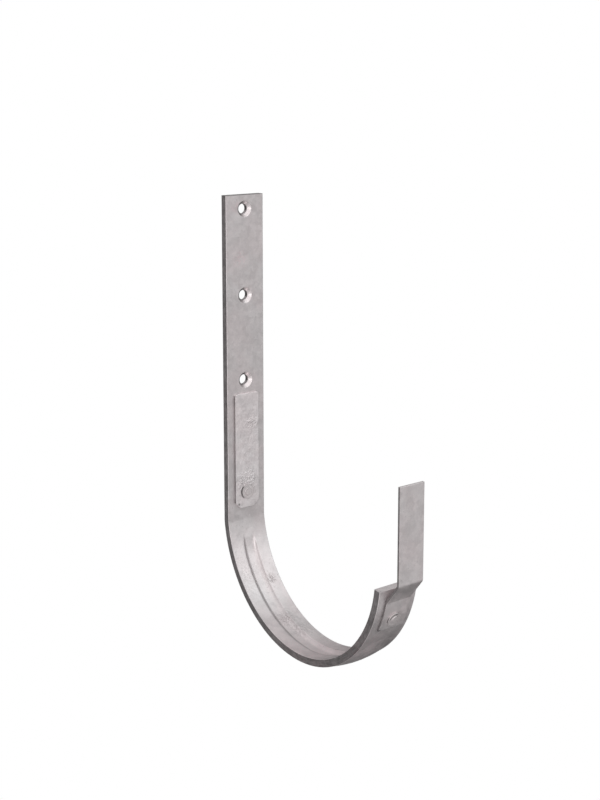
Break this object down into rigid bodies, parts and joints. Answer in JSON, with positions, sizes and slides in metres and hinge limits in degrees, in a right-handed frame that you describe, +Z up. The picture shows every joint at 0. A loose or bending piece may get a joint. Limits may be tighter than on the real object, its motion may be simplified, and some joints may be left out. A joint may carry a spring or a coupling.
{
  "type": "gutter bracket",
  "caption": "Half-round gutter bracket of galvanised flat bar, with a drilled leg, a beaded hook and riveted spring straps for the gutter's edges.",
  "frame": {"origin": "centre of the three screw holes' line, which is the middle hole, on the leg's wall face", "axes": "+X away from the wall, towards the gutter; +Y across the bar; +Z up the leg"},
  "size_m": [0.1724, 0.03, 0.2959],
  "materials": {
    "bar_zinc": "hot-dip galvanised, satin with a faint spangle",
    "strap_zinc": "hot-dip galvanised, a little rougher and paler",
    "rivet_zinc": "hot-dip galvanised, satin"
  },
  "bodies": {
    "root": {"hook_bar": "bar_zinc", "rear_spring_strap": "strap_zinc", "front_spring_strap": "strap_zinc", "rear_rivet": "rivet_zinc", "front_rivet": "rivet_zinc"}
  },
  "joints": []
}
